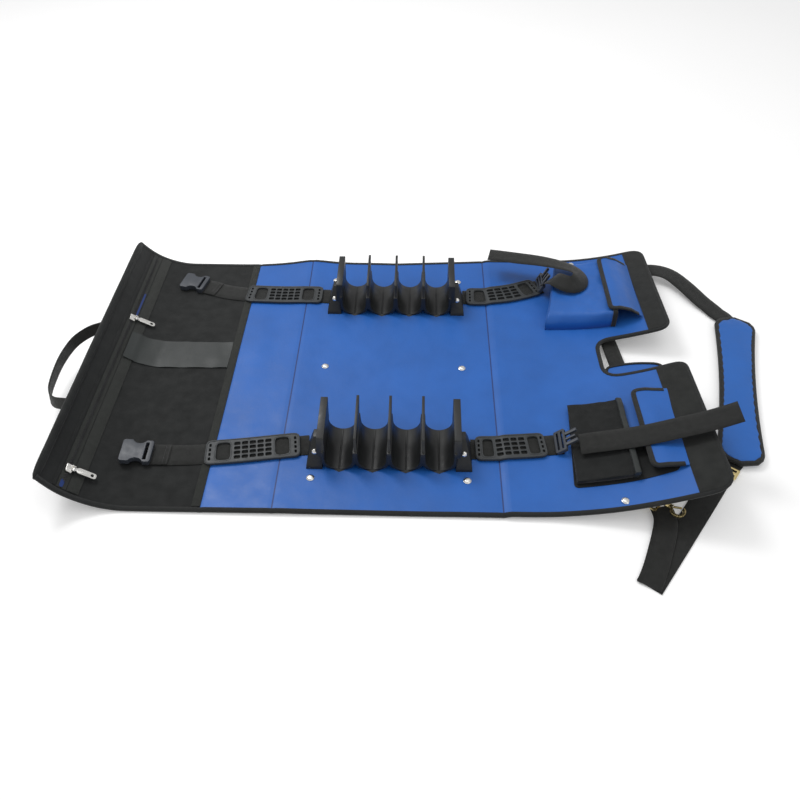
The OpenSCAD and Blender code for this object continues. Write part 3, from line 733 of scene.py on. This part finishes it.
def zip_line():
    """Zip with its tapes, the stitched placket beside it and the blue lining that peeks out, darkened with
    painted shade.
    """
    z = ZIP_T
    low, high = FRONT + 0.010, back(z) - 0.010
    for name, t0, t1, rise, wear, gone in (
            ("zip_tape_inner", z + 0.0012, z + 0.009, 0.0012, SEAM_TAPE, ["zip_tape"]),
            ("zip_tape_outer", z - 0.009, z - 0.0012, 0.0012, SEAM_TAPE, []),
            ("zip_placket", z + 0.0105, z + 0.031, 0.0026, SEAM_TAPE, []),
            ("zip_fold_outer", z - 0.0165, z - 0.0105, 0.0024, BLACK, [])):
        def crowned(t, y, h):
            return panel_top(t, y, h + rise * (0.45 + 0.55 * math.sin(math.pi * (t - t0) / (t1 - t0))))
        piece = plate(name, rect(t0, low, t1, high), crowned, rise, step=0.005)
        mount("pocket_panel", piece, wear, *gone)
    # The lining strips wear the blue vinyl's painted shade, darker for the gap they lie in.
    for name, t0, t1, y0, y1 in (("lining_rear", z + 0.0034, z + 0.0072, 0.112, 0.190),
            ("lining_front", z - 0.0050, z + 0.0020, FRONT + 0.012, -0.342)):
        outline = rounded(rect(t0, y0, t1, y1), 0.004)
        mount("pocket_panel", plate(name, outline, raised(0.0011), 0.0008, step=0.003), BLUE_PAINTED_SHADE)
    verts, faces = [], []
    for i in range(int((ZIP_REAR - ZIP_FRONT) / TOOTH)):
        y = ZIP_FRONT + TOOTH * i
        t0, t1 = (z - 0.0030, z + 0.0008) if i % 2 else (z - 0.0008, z + 0.0030)
        faces += [tuple(len(verts) + k for k in f) for f in (
            (3, 2, 1, 0), (4, 5, 6, 7), (0, 1, 5, 4), (1, 2, 6, 5), (2, 3, 7, 6), (3, 0, 4, 7))]
        for h, pinch in ((0.0002, 0.0), (0.0022, 0.0004)):
            half = 0.0010 - pinch
            verts += [panel_top(t, b, h) for t, b in rect(t0 + pinch, y - half, t1 - pinch, y + half)]
    teeth = make("zip_teeth_row", verts, faces, flat=True)
    mount("pocket_panel", teeth, THREAD, "zip_teeth", slot="black_binding")


# ---- straps over the panels ----

GRIP_ROWS = [0.0108 * row for row in (-1.5, -0.5, 0.5, 1.5)]
WINDOW = 0.150


def slot_hole(a, b, la, lb):
    """Rounded opening in a grip pad, centred at (a, b)."""
    r = min(la, lb) * 0.3
    return rounded(rect(a - la / 2, b - lb / 2, a + la / 2, b + lb / 2), r, 2)


def grip_holes(a0, a1, windows, cols):
    """Openings of a grip pad: a ladder at each end, windows, and a lattice between or beyond them."""
    size = a1 - a0
    holes = [slot_hole(a0 + f * size, b, 0.0040, 0.0070) for f in (0.050, 0.950) for b in GRIP_ROWS]
    holes += [slot_hole(a0 + f * size, 0.0, WINDOW * size, 0.042) for f in windows]
    first, last = windows[0] + 0.105, windows[1] - 0.105
    pitch = (last - first) / cols
    return holes + [slot_hole(a0 + size * (first + (col + 0.5) * pitch), b, 0.80 * pitch * size, 0.0082)
            for col in range(cols) for b in GRIP_ROWS]


def bead(outline, place, h, radius, name):
    """Raised bead along a closed outline laid over the bag."""
    pts = spaced(outline, 0.005)
    rings = []
    for i, (a, b) in enumerate(pts):
        (xa, ya), (xb, yb) = pts[i - 1], pts[(i + 1) % len(pts)]
        d = Vector((xb - xa, yb - ya)).normalized() * radius
        rings.append([place(a + d.y * c, b - d.x * c, h + radius * 0.85 * s) for c, s in circle(8)])
    return loft(name, rings, closed=True, caps=False)


def grip(name, place, a0, a1, windows, cols):
    """Rubber grip pad round the webbing, with its raised rim and openings."""
    half, top, size = GRIP_W / 2, 0.0066, a1 - a0

    def outline(inset):
        return rounded(rect(a0 + inset, -half + inset, a1 - inset, half - inset), 0.012)
    body = plate(name + "_body", outline(0.0), lambda a, b, d: place(a, b, top + 0.95 * d), 0.0040,
            step=0.0055, holes=grip_holes(a0, a1, windows, cols))
    beads = [bead(outline(0.0016), place, top - 0.0002, 0.0016, name + "_rim")]
    beads += [bead(slot_hole(a0 + f * size, 0.0, WINDOW * size + 0.004, 0.046), place, top - 0.0001, 0.0009,
            name + "_frame") for f in windows]
    return join(name, [body] + beads)


def left_straps():
    """Straps that cross both left folds, so each is parted between them."""
    cut = -0.262
    for end, path, x_low in (("front", FRONT_LEFT, -0.338), ("rear", REAR_LEFT, -0.337)):
        place = lay(path)
        roots = ["left_strap_roots"] if end == "front" else []
        web = laid_band(f"{end}_left_web", place, reach(place, -0.4355), reach(place, -0.149), WEB_W, 0.0008)
        pad = grip(f"{end}_left_grip", place, reach(place, x_low), reach(place, -0.166), (0.19, 0.81), 5)
        a0 = reach(place, -0.4365)
        loop = laid_band(f"{end}_left_loop", place, a0, a0 + 0.034, WEB_W - 0.001, 0.0029, 0.0016)
        seams = [laid_band(f"{end}_seam_{k}", place, a0 + k, a0 + k + 0.0009, 0.042, 0.0042, 0.0006, 0.0004)
                for k in (0.024, 0.031)]
        mount("pocket_panel", loop, WEB)
        mount("pocket_panel", join(f"{end}_left_stitches", seams), THREAD)
        for obj, wear, gone in ((web, WEB, [f"{end}_left_strap"] + roots),
                (pad, RUBBER, [f"{end}_side_grip"])):
            outer, inner = split(obj, cut, obj.name + "_outer", obj.name + "_inner")
            dress(outer, wear, *gone)
            dress(inner, wear)
            for piece, fold in ((outer, "pocket_fold"), (inner, "side_fold")):
                if wear is RUBBER:
                    soft_edges(piece, 0.0005)
                over_fold(piece, fold)


def right_straps():
    for end, path, x_high, x_web in (("front", FRONT_RIGHT, 0.287, 0.318),
            ("rear", REAR_RIGHT, 0.318, 0.326)):
        place = lay(path)
        roots = ["right_strap_roots"] if end == "front" else []
        web = laid_band(f"{end}_right_web", place, reach(place, 0.149), reach(place, x_web), WEB_W, 0.0008)
        pad = grip(f"{end}_right_pad", place, reach(place, 0.157), reach(place, x_high), (0.18, 0.83), 4)
        over_fold(dress(web, WEB, *roots), "right_fold")
        over_fold(dress(pad, RUBBER, f"{end}_right_grip"), "right_fold")


def strap(name, node, body, path, w, t=WEB_T):
    """Webbing for a CAD node, along points in millimetres with an optional tilt."""
    in_metres = [[p[0] / 1000, p[1] / 1000, p[2] / 1000, p[3] if len(p) > 3 else 0.0] for p in path]
    mount(body, webbing(name, in_metres, w, t), WEB, node)


def loose_webbing():
    strap("rear_tail_web", "rear_right_tail", "right_panel", [
        [338, 246, 34, 0], [342, 240, 48, 6], [350, 230, 59, 12], [365, 215, 61, 18], [385, 208, 60, 24],
        [402, 220, 61, 30], [405, 242, 62, 26], [390, 262, 63, 16], [360, 276, 64, 8], [320, 290, 63, 3],
        [280, 302, 60, 0], [245, 312, 58, 0], [210, 320, 57, 0]], 0.042)
    heights = [(0.344, 0.0205), (0.356, 0.022), (0.470, 0.023), (0.600, 0.022)]
    run = [(*surface(x / 1000, -0.230, lookup(x / 1000, heights) + 0.0006 * math.sin(x / 19)), 0.0)
           for x in range(344, 606, 20)]
    mount("front_tail", webbing("front_tail_web", run, WEB_W), WEB, "front_right_tail")
    strap("grab_handle_web", "grab_handle", "right_panel", [
        [446, 102, 11.5], [450, 76, 11], [455, 30, 10], [460, -26, 12], [462, -66, 18]], 0.034, 0.002)
    strap("carry_handle_web", "carry_handle", "carry_handle", [
        [-596, 43, 60, 96], [-622, 33, 56, 96], [-646, 6, 51, 94], [-657, -40, 47, 90], [-657, -90, 45, 86],
        [-650, -132, 46, 82], [-632, -160, 51, 78], [-598, -172, 58, 76]], 0.026, 0.0030)
    t0, t1, half, rise = FOLD_SIDE - 0.282, FOLD_SIDE - 0.234, 0.018, -0.0046
    for k, y in enumerate((0.042, -0.170)):
        sewn = plate(f"handle_anchor_{k + 1}", rect(t0, y - half, t1, y + half), raised(rise), 0.0022)
        mount("pocket_panel", sewn, WEB, *(["carry_handle_anchors"] if k == 0 else []))


# ---- right panel's trim and pockets ----

def right_trim():
    edge = 0.0055
    outer = RIGHT_END - edge
    for name, x0, y0, y1, r0, r1, gone in (
            ("end_band_rear", RIGHT_END - 0.042, NOTCH_REAR + edge, back(RIGHT_END) - edge, 0.020, 0.030,
            ["right_end_bands"]),
            ("end_band_front", RIGHT_END - 0.053, FRONT + edge, NOTCH_FRONT - edge, 0.030, 0.020, [])):
        outline = rounded([(x0, y0, 0.002), (outer, y0, r0), (outer, y1, r1), (x0, y1, 0.002)], 0.02)
        band = plate(name, outline, raised(0.0016), 0.0014, step=0.006)
        mount("right_panel", band, GREY_DARK, *gone)
    outline = rounded([(NOTCH_X + 0.012, NOTCH_FRONT - 0.014), (0.534, NOTCH_FRONT - 0.014),
            (0.526, NOTCH_FRONT + 0.012), (0.470, NOTCH_FRONT + 0.032),
            (NOTCH_X + 0.004, NOTCH_FRONT + 0.030)], 0.010)
    lip = plate("notch_lip_cloth", outline, lambda t, y, h: surface(t, y, h - 0.0058), 0.0018, step=0.006)
    mount("right_panel", lip, BLUE, "notch_lip")
    line = [(*surface(x, NOTCH_FRONT + y, -0.0064), 0.0) for x, y in (
        (NOTCH_X + 0.006, 0.020), (NOTCH_X + 0.012, 0.030), (0.470, 0.031), (0.500, 0.024), (0.524, 0.012),
        (0.533, -0.006))]
    mount("right_panel", webbing("notch_lip_tape", line, 0.006, 0.0026, step=0.005), TAPE)


def bake(obj):
    """Apply an object's modifiers to its mesh."""
    graph = bpy.context.evaluated_depsgraph_get()
    mesh = bpy.data.meshes.new_from_object(obj.evaluated_get(graph))
    old = obj.data
    obj.modifiers.clear()
    obj.data = mesh
    bpy.data.meshes.remove(old)
    mesh.name = obj.name


def soft_box(name, corners, high_in, high_out, round_at, crease, seed, sag=0.0, slopes=(0.0, 0.0)):
    """A sewn pocket open at its +X side, and the line of its mouth.

    corners run inner front, outer front, outer rear, inner rear; the sides rise over a share of each way.
    """
    (fx0, fy0), (fx1, fy1), (rx1, ry1), (rx0, ry0) = corners
    nu, nv, side_share, thick = 34, 44, 0.17, 0.0016

    def point(r, s):
        along, up_x = max(0.0, (r - side_share) / (1 - side_share)), min(1.0, r / side_share)
        across, up_y = max(-1.0, min(1.0, s / (1 - side_share))), min(1.0, (1 - abs(s)) / side_share)
        f = (across + 1) / 2
        x = (fx0 + (fx1 - fx0) * along) * (1 - f) + (rx0 + (rx1 - rx0) * along) * f
        y = (fy0 + (fy1 - fy0) * along) * (1 - f) + (ry0 + (ry1 - ry0) * along) * f
        up = min(up_x, up_y)
        h = (high_in + (high_out - high_in) * along) * (1 - (1 - up) ** round_at)
        h -= sag * math.sin(math.pi * f) * smooth(along) * (up > 0.99)
        broad, fine = noise.noise(Vector((x * 38, y * 30, seed))), noise.noise(Vector((x * 90, y * 70, seed)))
        h += crease * (broad + 0.6 * fine) * min(1.0, up * 2) * (0.35 + 0.65 * along)
        bow = crease * 1.5 * noise.noise(Vector((x * 30, up * 3 + y * 8, seed + 4))) * math.sin(math.pi * up)
        lean = bow + 0.0025 * math.sin(math.pi * up * 0.9)
        if up_y < 1.0:
            y += lean * (1 if s > 0 else -1)
        if up_x < 1.0:
            x -= lean
        y += (slopes[0] + (slopes[1] - slopes[0]) * along) * up * max(0.0, 1 - f * 1.6)
        x += slopes[0] * 0.4 * up * (1 - along) * (1 - f)
        return surface(x, y, max(h, 0.0) + 0.0006 + wave(x, y) * 0.8)
    rows = [[point(i / nu, 2 * j / nv - 1) for j in range(nv + 1)] for i in range(nu + 1)]
    m = nv + 1
    uvs = [(0.21 * i / nu, 0.26 * j / nv) for i in range(nu + 1) for j in range(m)]
    faces = [(i * m + j, i * m + j + 1, (i + 1) * m + j + 1, (i + 1) * m + j)
            for i in range(nu) for j in range(nv)]
    piece = make(name, [p for row in rows for p in row], faces, uvs)

    def clean(work):
        bmesh.ops.remove_doubles(work, verts=work.verts, dist=0.0008)
        bmesh.ops.dissolve_degenerate(work, edges=work.edges, dist=0.0004)
        bmesh.ops.recalc_face_normals(work, faces=work.faces)
        if sum(f.normal.z * f.calc_area() for f in work.faces) < 0:
            bmesh.ops.reverse_faces(work, faces=work.faces)
    reshape(piece.data, clean)
    shell = piece.modifiers.new("shell", "SOLIDIFY")
    shell.thickness = thick
    shell.offset = -1
    bake(piece)
    return piece, [p + Vector((0.0004, 0, 0)) for p in rows[nu]]


def mouth_tape(name, line, wide, wear):
    """Binding folded over a pocket's mouth, which faces +X."""
    inward = Vector((-1, 0, 0))
    ends = zip(line[:1] + line[:-1], line[1:] + line[-1:])
    ups = [(b - a).normalized().cross(inward).normalized() for a, b in ends]
    mount("right_panel", edge_tape(name, line, [-inward] * len(line), ups, wide=wide, high=0.0021), wear)


def pockets():
    outline = rounded([(0.326, -0.314), (0.430, -0.313), (0.500, -0.307), (0.507, -0.248), (0.436, -0.236),
            (0.436, -0.121), (0.340, -0.121)], 0.010)
    base = plate("sleeve_base", outline, raised(0.0014), 0.0012, step=0.006)
    mount("right_panel", base, BLACK)
    corners = [(0.322, 0.116), (0.466, 0.108), (0.474, 0.304), (0.362, 0.298)]
    box, mouth = soft_box("box_pocket_cloth", corners, 0.033, 0.0345, 2.3, 0.0027, 3.0, 0.003,
            slopes=(0.030, 0.010))
    mount("right_panel", box, BLUE, "rear_box_pocket")
    mouth_tape("box_mouth_tape", mouth, 0.010, TAPE)
    for name, y0, y1, x0, seed, gone in (("sleeve_rear", -0.2125, -0.1235, 0.338, 6.0, ["tool_sleeves"]),
            ("sleeve_front", -0.305, -0.2165, 0.333, 9.0, [])):
        sleeve, mouth = soft_box(name, [(x0, y0), (0.434, y0), (0.434, y1), (x0 + 0.002, y1)],
                0.0105, 0.0145, 2.4, 0.0018, seed)
        mount("right_panel", sleeve, BLACK, *gone)
        mouth_tape(name + "_mouth", mouth, 0.011, GREY)


def flap(name, profile, corners, seed):
    """A lifting flap: cloth from its seam at the band to the free edge over a pocket, bound on three sides.

    profile gives heights along x; corners run free front, free rear, seam rear, seam front.
    """
    (y0, y1), end = (corners[0][1], corners[1][1]), profile[-1][0]

    def top(t, y, h):
        drift = 0.0012 * noise.noise(Vector((t * 30, y * 16, seed))) * smooth((end - t) / 0.02)
        droop = 0.00054 * math.sin(math.pi * (y - y0) / (y1 - y0))
        return surface(t, y, lookup(t, profile) + h + drift - droop)
    outline = rounded([(*c, r) for c, r in zip(corners, (0.016, 0.016, 0.002, 0.002))], 0.01)
    cloth = plate(name + "_cloth", outline, top, COVER_T, step=0.006)
    mount(name, cloth, BLUE, name)
    sum(math.dist(a, b) for a, b in zip(profile, profile[1:]))
    seam, way = Vector(corners[2]), (Vector(corners[3]) - Vector(corners[2])).normalized()
    edge = [p for p in spaced(outline, 0.005) if abs((Vector(p) - seam).cross(way)) > 0.003]
    start = max(range(len(edge)), key=lambda i: math.dist(edge[i], edge[i - 1]))
    tape = edge_tape(name + "_binding", *rim(edge[start:] + edge[:start], top, -0.0011, -1), wide=0.009,
            high=0.0024)
    mount(name, tape, TAPE)


def flaps():
    flap("rear_flap", [(0.449, 0.0430), (0.472, 0.0425), (0.496, 0.030), (0.527, 0.0030)],
         [(0.450, 0.118), (0.454, 0.311), (0.527, 0.313), (0.521, 0.116)], 2.0)
    flap("front_flap", [(0.452, 0.0200), (0.480, 0.0165), (0.500, 0.0095), (0.519, 0.0030)],
         [(0.453, -0.303), (0.454, -0.105), (0.521, -0.107), (0.514, -0.303)], 4.0)


# ---- shoulder strap ----

SHOULDER = [[548, 318, 12], [590, 322, 18], [625, 305, 20], [654, 270, 15], [682, 225, 8], [706, 190, 3.4],
        [722, 145, 3], [690, 0, 3], [656, -150, 3], [634, -222, 2.5], [600, -262, 1.5], [540, -342, 0.5],
        [422, -498, 0]]
PAD_CENTRE = (0.688, -0.044)
PAD_TURN = math.radians(-14)
PAD_HALF = 0.214
PAD_LOW, PAD_TOP = 0.0056, 0.0136


def pad_half_width(f):
    """Half width of the pad at f, from -1 at one end to 1 at the other."""
    crown = 1.0 if abs(f) < 0.82 else math.sqrt(max(0.0, 1 - ((abs(f) - 0.82) / 0.18) ** 2))
    return (0.034 + 0.010 * f * f) * crown


def pad_point(a, b, z):
    """A point a along the pad, b across it."""
    c, s = math.cos(PAD_TURN), math.sin(PAD_TURN)
    return Vector((PAD_CENTRE[0] + b * c - a * s, PAD_CENTRE[1] + b * s + a * c, z))


def pad_outline(inset):
    n = 40
    half = PAD_HALF - inset
    right = [(half * (2 * i / n - 1), max(0.0, pad_half_width(2 * i / n - 1) - inset)) for i in range(n + 1)]
    return right + [(a, -b) for a, b in reversed(right[1:-1])]


def shoulder():
    strap("shoulder_web", "shoulder_strap", "centre", SHOULDER, 0.044)
    strap("shoulder_anchor_web", "shoulder_anchor", "centre", [
        [201, 318, 0], [300, 318, 0], [400, 318, 1], [470, 318, 3], [520, 318, 8], [545.5, 318, 11.4]],
        WEB_W, 0.0012)
    strap("hook_leg_web", "hook_strap", "centre", [
        [421, -498, 2.2], [440, -462, 2.7], [466, -400, 4.2], [474, -370, 5.6], [471, -346, 7.6]], 0.040)
    pad = plate("shoulder_pad_cloth", pad_outline(0.0045), lambda a, b, h: pad_point(a, b, PAD_TOP + h),
            PAD_TOP - PAD_LOW, step=0.006)
    stuff(pad, PAD_LOW)
    mount("centre", pad, PAD_BLUE, "shoulder_pad")
    edge = rim(spaced(pad_outline(0.0), 0.005), pad_point, 0.0092, -1, closed=True)
    tape = edge_tape("shoulder_pad_tape", *edge, wide=0.010, high=0.0040, closed=True)
    mount("centre", tape, TAPE, "shoulder_pad_binding")


def stuff(pad, low):
    """Blow the pad up like foam under its cloth, then let the cloth settle into soft dimples."""
    farthest = 0.0035
    remesh = pad.modifiers.new("remesh", "REMESH")
    remesh.mode = "VOXEL"
    remesh.voxel_size = 0.0045
    bake(pad)
    rest = [v.co.copy() for v in pad.data.vertices]
    held = pad.vertex_groups.new(name="seam")
    for v in pad.data.vertices:
        if abs(v.normal.z) < 0.25:
            held.add([v.index], 1.0, "REPLACE")
    cloth = pad.modifiers.new("cloth", "CLOTH").settings
    for key, value in (("quality", 5), ("mass", 0.3), ("tension_stiffness", 12),
            ("compression_stiffness", 12), ("shear_stiffness", 6), ("bending_stiffness", 0.6),
            ("vertex_group_mass", "seam"), ("use_pressure", True),
            ("uniform_pressure_force", 4.0)):
        setattr(cloth, key, value)
    cloth.effector_weights.gravity = 0.0
    scene = bpy.context.scene
    scene.frame_start, scene.frame_end = 1, 20
    for f in range(1, 21):
        scene.frame_set(f)
        bpy.context.view_layer.update()
    bake(pad)
    scene.frame_set(1)
    for v, r in zip(pad.data.vertices, rest):
        move = v.co - r
        if move.length > farthest:
            move = move.normalized() * farthest
        v.co = r + move
        v.co.z = max(v.co.z, low - 0.0008)
        crease = noise.noise(Vector((v.co.x * 26, v.co.y * 14, 1.5)))
        if r.z > low + 0.004:
            v.co.z += 0.0010 * crease
    smooth_mod = pad.modifiers.new("fine", "SUBSURF")
    smooth_mod.levels = smooth_mod.render_levels = 1
    bake(pad)
    pad.vertex_groups.clear()
    for p in pad.data.polygons:
        p.use_smooth = True


# ---- hard parts ----

def refined(node, wear, body, width, segments=2):
    """The node's own shape with its sharp edges rounded off."""
    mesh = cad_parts[node].data.copy()
    mesh.name = node + "_fine"

    def clean(work):
        bmesh.ops.remove_doubles(work, verts=work.verts, dist=0.00002)
        bmesh.ops.dissolve_limit(work, angle_limit=math.radians(1.5), verts=work.verts, edges=work.edges)
    reshape(mesh, clean)
    obj = linked(node + "_fine", mesh)
    soft_edges(obj, width, segments).modifiers["edges"].angle_limit = math.radians(35)
    bake(obj)
    shade(obj.data, 50)
    mount(body, obj, wear, node)


def snap(name, x, y, body, *replaced):
    """Snap cap: a flange, a rolled shoulder and a shallow dome."""
    q, up = panel_top(x, y, 0.0), up_at(x, y)
    side = up.cross(Vector((0, 1, 0))).normalized()
    other = up.cross(side)
    profile = ((0.0072, -0.0006), (0.0074, 0.0004), (0.0072, 0.0012), (0.0067, 0.0014), (0.0063, 0.0018),
            (0.0056, 0.0027), (0.0042, 0.0033), (0.0024, 0.0036), (0.0006, 0.0037))
    rings = [[q + side * (r * c) + other * (r * s) + up * h for c, s in circle(28)] for r, h in profile]
    mount(body, loft(name, rings), NICKEL, *replaced)


def channel_ribs(node):
    """Moulding line along each channel's floor, running out to a small pointed lip in front."""
    low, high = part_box(node)
    front, end = low.y, low.y + 0.098
    floor_z, pitch, wide = SHEET + 0.0036, 0.060, 0.013
    section = ((-0.0024, -0.0006), (-0.0010, 0.0007), (0.0, 0.0011), (0.0010, 0.0007), (0.0024, -0.0006))
    parts = []
    for i in (-1.5, -0.5, 0.5, 1.5):
        x = (low.x + high.x) / 2 + pitch * i
        rings = [[Vector((x + a, y, floor_z + b)) for a, b in section]
                for y in (front + 0.0005, front + 0.030, front + 0.065, end - 0.004)]
        parts.append(loft(f"{node}_rib_{i}", rings))
        y, z = front + 0.001, SHEET + 0.0008
        verts = [(x - wide, y, z), (x, front - 0.0052, SHEET + 0.0010), (x + wide, y, z), (x, y, z),
                (x, y, floor_z + 0.0006)]
        faces = [(0, 1, 4), (1, 2, 4), (0, 3, 1), (3, 2, 1), (0, 4, 3), (3, 4, 2)]
        parts.append(make(f"{node}_lip_{i}", verts, faces))
    mount("centre", join(node + "_ribs", parts), HOLDER)


def hard_parts():
    places = [(x, y) for y in (-0.295, -0.005, 0.282) for x in (-0.140, 0.140)]
    for number, (x, y) in enumerate(places, 1):
        snap(f"centre_snap_{number}", x, y, "centre", *(["centre_snaps"] if number == 1 else []))
    snap("right_snap_rear", 0.408, 0.348, "right_panel", "right_snaps")
    snap("right_snap_front", 0.405, -0.352, "right_panel")
    for node in ("front_rod_holder", "rear_rod_holder"):
        refined(node, HOLDER, "centre", 0.0010, 3)
        channel_ribs(node)
    for side, body in (("left", "pocket_panel"), ("right", "right_panel")):
        for end in ("front", "rear"):
            refined(f"{end}_{side}_buckle", PLASTIC, body, 0.0012, 3)
    for part in ("slider", "pull"):
        for end in ("front", "rear"):
            refined(f"{end}_zip_{part}", NICKEL, f"{end}_{part}", 0.0005)
    for node, body in (("strap_slider", "centre"), ("hook_eye", "centre"), ("snap_hook", "strap_hook"),
            ("hook_gate", "hook_gate")):
        refined(node, BRASS, body, 0.0008)
    refined("holder_rivets", NICKEL, "centre", 0.0004)


# ---- camera, light and floor ----

def studio():
    scene = bpy.context.scene
    camera = linked("camera", bpy.data.cameras.new("camera"))
    camera.location = (0.0393, -1.130, 1.075)
    camera.rotation_euler = (math.radians(90 - 46), 0, math.radians(1.314))
    camera.data.lens = 34.07
    camera.data.sensor_width = 36
    scene.camera = camera
    for name, place, size, power, aim in (
            ("key", (-1.1, 1.0, 2.2), 0.9, 27, (0.1, 0, 0)),
            ("fill", (1.8, -1.6, 1.7), 1.8, 5, (0, 0, 0)),
            ("top", (0.0, 0.2, 2.6), 2.4, 12, (0, 0, 0))):
        light = linked(name, bpy.data.lights.new(name, "AREA"))
        light.data.size = size
        light.data.energy = power
        light.location = place
        light.rotation_euler = (Vector(aim) - Vector(place)).to_track_quat("-Z", "Y").to_euler()
    scene.world = bpy.data.worlds.new("studio")
    scene.world.use_nodes = True
    put(scene.world.node_tree.nodes["Background"], Color=(1, 1, 1, 1), Strength=0.60)
    scene.view_settings.view_transform = "Standard"
    half, z = 6, -0.0008
    floor = make("floor", [(x, y, z) for x, y in rect(-half, -half, half, half)], [(0, 1, 2, 3)])
    mat, tree, bsdf = shader("floor_look")
    tint(tree, bsdf, (0.93, 0.93, 0.93), 0.01, 0.8)
    put(bsdf, Roughness=0.9, Emission_Color=(1, 1, 1, 1), Emission_Strength=0.17)
    floor.data.materials.append(mat)


studio()
panels()
folds()
bindings()
end_roll()
pocket_trim()
zip_line()
left_straps()
right_straps()
loose_webbing()
right_trim()
pockets()
flaps()
shoulder()
hard_parts()
